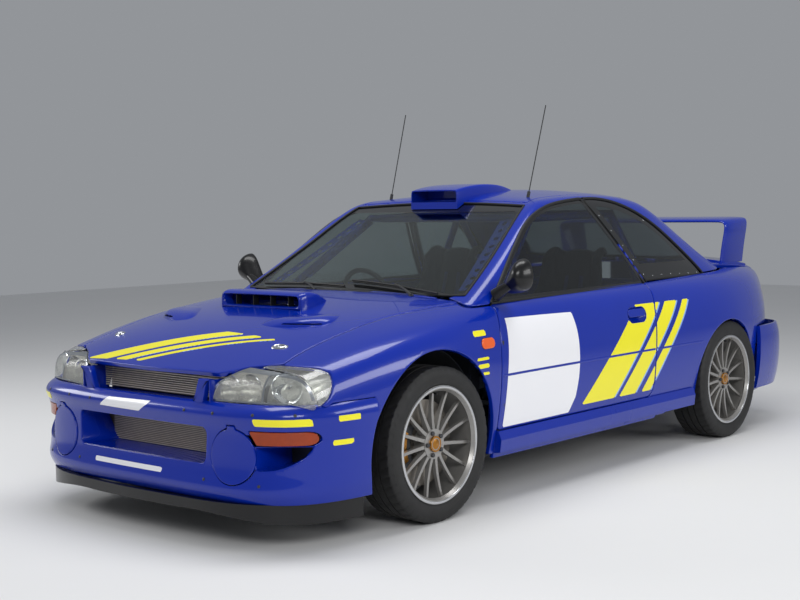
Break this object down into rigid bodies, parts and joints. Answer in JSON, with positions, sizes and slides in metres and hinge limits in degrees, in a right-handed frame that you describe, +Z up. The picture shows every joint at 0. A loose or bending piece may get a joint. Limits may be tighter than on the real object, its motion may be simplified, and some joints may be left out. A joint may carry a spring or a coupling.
{
  "type": "rally car",
  "caption": "Two-door rally car with opening doors, bonnet and boot lid, steered front wheels, turning road wheels, roll cage, splitter and rear wing.",
  "frame": {"origin": "on the floor, on the centre plane, half-way along the car", "axes": "+X to the car's left, +Y to the rear, +Z up"},
  "size_m": [1.9252, 4.3396, 1.7927],
  "materials": {
    "body_paint": "deep gloss blue paint",
    "glass": "tinted glass",
    "lamp_glass": "clear fluted lamp glass",
    "amber": "amber lens",
    "red_lens": "red lens",
    "core_metal": "finned cores",
    "carbon": "woven carbon laminate",
    "black_trim": "black moulded plastic",
    "cage_steel": "painted tube",
    "seat_fabric": "seat cloth",
    "underbody": "grey underbody paint",
    "engine_metal": "cast metal",
    "axle_steel": "painted steel",
    "rim_metal": "gunmetal",
    "tyre": "black rubber",
    "disc_iron": "ground iron",
    "exhaust_steel": "steel tube"
  },
  "bodies": {
    "chassis": {"roof_panel": "body_paint", "side_frames": "body_paint", "front_wings": "body_paint", "scuttle": "black_trim", "tail_panel": "body_paint", "floor_pan": "underbody", "wheel_housings": "underbody", "front_bumper": "body_paint", "rear_bumper": "body_paint", "splitter": "carbon", "side_skirts": "body_paint", "windscreen": "glass", "rear_window": "glass", "quarter_windows": "glass", "headlamps": "lamp_glass", "indicators": "amber", "tail_lamps": "red_lens", "lamp_covers": "body_paint", "cooler_cores": "core_metal", "roof_scoop": "body_paint", "aerials": "black_trim", "roll_cage": "cage_steel", "seats": "seat_fabric", "dashboard": "black_trim", "engine_block": "engine_metal", "front_axle": "axle_steel", "rear_axle": "axle_steel", "exhaust": "exhaust_steel", "front_frame": "underbody"},
    "bonnet": {"bonnet": "body_paint"},
    "boot_lid": {"boot_lid": "body_paint", "rear_wing": "body_paint"},
    "door_left": {"door_left": "body_paint", "door_glass_left": "glass", "mirror_left": "carbon"},
    "steering_left": {"knuckle_left": "axle_steel"},
    "wheel_front_left": {"tyre_front_left": "tyre", "rim_front_left": "rim_metal", "disc_front_left": "disc_iron"},
    "wheel_rear_left": {"tyre_rear_left": "tyre", "rim_rear_left": "rim_metal", "disc_rear_left": "disc_iron"},
    "door_right": {"door_right": "body_paint", "door_glass_right": "glass", "mirror_right": "carbon"},
    "steering_right": {"knuckle_right": "axle_steel"},
    "wheel_front_right": {"tyre_front_right": "tyre", "rim_front_right": "rim_metal", "disc_front_right": "disc_iron"},
    "wheel_rear_right": {"tyre_rear_right": "tyre", "rim_rear_right": "rim_metal", "disc_rear_right": "disc_iron"}
  },
  "joints": [
    {"name": "bonnet_hinge", "type": "hinge", "parent": "chassis", "child": "bonnet", "pos_m": [0, -0.8944, 0.912], "axis": [-1, 0, 0], "range_deg": [0, 55]},
    {"name": "boot_hinge", "type": "hinge", "parent": "chassis", "child": "boot_lid", "pos_m": [0, 1.54355, 0.966], "axis": [1, 0, 0], "range_deg": [0, 65]},
    {"name": "door_hinge_left", "type": "hinge", "parent": "chassis", "child": "door_left", "pos_m": [0.848, -0.8251, 0.6], "axis": [0, 0, -1], "range_deg": [0, 62]},
    {"name": "steer_left", "type": "hinge", "parent": "chassis", "child": "steering_left", "pos_m": [0.7, -1.285, 0.19], "axis": [-0.2056, 0, 0.9786], "range_deg": [-30, 30]},
    {"name": "wheel_spin_front_left", "type": "hinge", "parent": "steering_left", "child": "wheel_front_left", "pos_m": [0.775, -1.285, 0.322], "axis": [1, 0, 0], "continuous": true},
    {"name": "wheel_spin_rear_left", "type": "hinge", "parent": "chassis", "child": "wheel_rear_left", "pos_m": [0.775, 1.235, 0.322], "axis": [1, 0, 0], "continuous": true},
    {"name": "door_hinge_right", "type": "hinge", "parent": "chassis", "child": "door_right", "pos_m": [-0.848, -0.8251, 0.6], "axis": [0, 0, 1], "range_deg": [0, 62]},
    {"name": "steer_right", "type": "hinge", "parent": "chassis", "child": "steering_right", "pos_m": [-0.7, -1.285, 0.19], "axis": [0.2056, 0, 0.9786], "range_deg": [-30, 30]},
    {"name": "wheel_spin_front_right", "type": "hinge", "parent": "steering_right", "child": "wheel_front_right", "pos_m": [-0.775, -1.285, 0.322], "axis": [1, 0, 0], "continuous": true},
    {"name": "wheel_spin_rear_right", "type": "hinge", "parent": "chassis", "child": "wheel_rear_right", "pos_m": [-0.775, 1.235, 0.322], "axis": [1, 0, 0], "continuous": true}
  ],
  "couplings": [
    {"joint": "steer_right", "follows": "steer_left", "ratio": 1}
  ]
}
